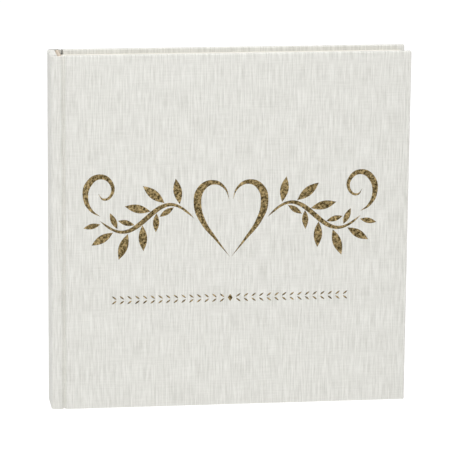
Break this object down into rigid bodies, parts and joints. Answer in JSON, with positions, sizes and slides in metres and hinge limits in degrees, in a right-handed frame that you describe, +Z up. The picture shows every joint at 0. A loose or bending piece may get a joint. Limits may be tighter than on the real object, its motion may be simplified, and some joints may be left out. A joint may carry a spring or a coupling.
{
  "type": "wedding guest book",
  "caption": "Square hardcover wedding guest book in off-white linen with gold foil ornament; both covers open on cloth joints and the sewn leaves turn with them.",
  "frame": {"origin": "middle of the tail (bottom) end, on the surface that the book stands on", "axes": "+Z up along the spine towards the head, +X from the spine to the fore edge, -Y is the way the front cover faces"},
  "size_m": [0.23, 0.0276, 0.23],
  "materials": {
    "linen": "off-white plain-weave book linen",
    "greyboard": "plain greyboard",
    "lining_paper": "kraft",
    "gauze": "open gauze, glued",
    "band": "tan woven band",
    "thread": "waxed thread",
    "gold_foil": "stamped gold foil",
    "endpaper": "smooth cream paper",
    "page_paper": "uncoated cream paper"
  },
  "bodies": {
    "root": {"spine_cloth": "linen", "spine_board": "greyboard", "spine_lining": "lining_paper", "mull": "gauze", "headband": "band", "tailband": "band", "sewing_thread": "thread", "front_endpaper_fold": "endpaper", "back_endpaper_fold": "endpaper", "section_1": "page_paper", "section_2": "page_paper", "section_3": "page_paper", "section_4": "page_paper", "section_5": "page_paper", "section_6": "page_paper", "section_7": "page_paper", "section_8": "page_paper", "section_9": "page_paper", "section_10": "page_paper", "section_11": "page_paper"},
    "front_cover": {"front_cover_cloth": "linen", "front_board": "greyboard", "front_mull_flange": "gauze", "front_pastedown": "endpaper", "foil_flourish": "gold_foil", "foil_garland": "gold_foil"},
    "back_cover": {"back_cover_cloth": "linen", "back_board": "greyboard", "back_mull_flange": "gauze", "back_pastedown": "endpaper"},
    "front_flyleaf": {"front_flyleaf": "endpaper"},
    "front_leaf_1": {"front_leaf_1": "page_paper"},
    "front_leaf_2": {"front_leaf_2": "page_paper"},
    "front_leaf_3": {"front_leaf_3": "page_paper"},
    "back_flyleaf": {"back_flyleaf": "endpaper"},
    "back_leaf_1": {"back_leaf_1": "page_paper"},
    "back_leaf_2": {"back_leaf_2": "page_paper"},
    "back_leaf_3": {"back_leaf_3": "page_paper"}
  },
  "joints": [
    {"name": "front_cover_hinge", "type": "hinge", "parent": "root", "child": "front_cover", "pos_m": [-0.1066, -0.01414, 0.115], "axis": [0, 0, -1], "range_deg": [0, 180]},
    {"name": "front_flyleaf_turn", "type": "hinge", "parent": "root", "child": "front_flyleaf", "pos_m": [-0.1066, -0.01414, 0.115], "axis": [0, 0, -1], "range_deg": [0, 167.4]},
    {"name": "front_leaf_1_turn", "type": "hinge", "parent": "root", "child": "front_leaf_1", "pos_m": [-0.1066, -0.01414, 0.115], "axis": [0, 0, -1], "range_deg": [0, 126]},
    {"name": "front_leaf_2_turn", "type": "hinge", "parent": "root", "child": "front_leaf_2", "pos_m": [-0.1066, -0.01414, 0.115], "axis": [0, 0, -1], "range_deg": [0, 81]},
    {"name": "front_leaf_3_turn", "type": "hinge", "parent": "root", "child": "front_leaf_3", "pos_m": [-0.1066, -0.01414, 0.115], "axis": [0, 0, -1], "range_deg": [0, 39.6]},
    {"name": "back_cover_hinge", "type": "hinge", "parent": "root", "child": "back_cover", "pos_m": [-0.1066, 0.01414, 0.115], "axis": [0, 0, 1], "range_deg": [0, 180]},
    {"name": "back_flyleaf_turn", "type": "hinge", "parent": "root", "child": "back_flyleaf", "pos_m": [-0.1066, 0.01414, 0.115], "axis": [0, 0, 1], "range_deg": [0, 167.4]},
    {"name": "back_leaf_1_turn", "type": "hinge", "parent": "root", "child": "back_leaf_1", "pos_m": [-0.1066, 0.01414, 0.115], "axis": [0, 0, 1], "range_deg": [0, 126]},
    {"name": "back_leaf_2_turn", "type": "hinge", "parent": "root", "child": "back_leaf_2", "pos_m": [-0.1066, 0.01414, 0.115], "axis": [0, 0, 1], "range_deg": [0, 81]},
    {"name": "back_leaf_3_turn", "type": "hinge", "parent": "root", "child": "back_leaf_3", "pos_m": [-0.1066, 0.01414, 0.115], "axis": [0, 0, 1], "range_deg": [0, 39.6]}
  ],
  "couplings": [
    {"joint": "front_flyleaf_turn", "follows": "front_cover_hinge", "ratio": 0.93},
    {"joint": "front_leaf_1_turn", "follows": "front_cover_hinge", "ratio": 0.7},
    {"joint": "front_leaf_2_turn", "follows": "front_cover_hinge", "ratio": 0.45},
    {"joint": "front_leaf_3_turn", "follows": "front_cover_hinge", "ratio": 0.22},
    {"joint": "back_flyleaf_turn", "follows": "back_cover_hinge", "ratio": 0.93},
    {"joint": "back_leaf_1_turn", "follows": "back_cover_hinge", "ratio": 0.7},
    {"joint": "back_leaf_2_turn", "follows": "back_cover_hinge", "ratio": 0.45},
    {"joint": "back_leaf_3_turn", "follows": "back_cover_hinge", "ratio": 0.22}
  ]
}
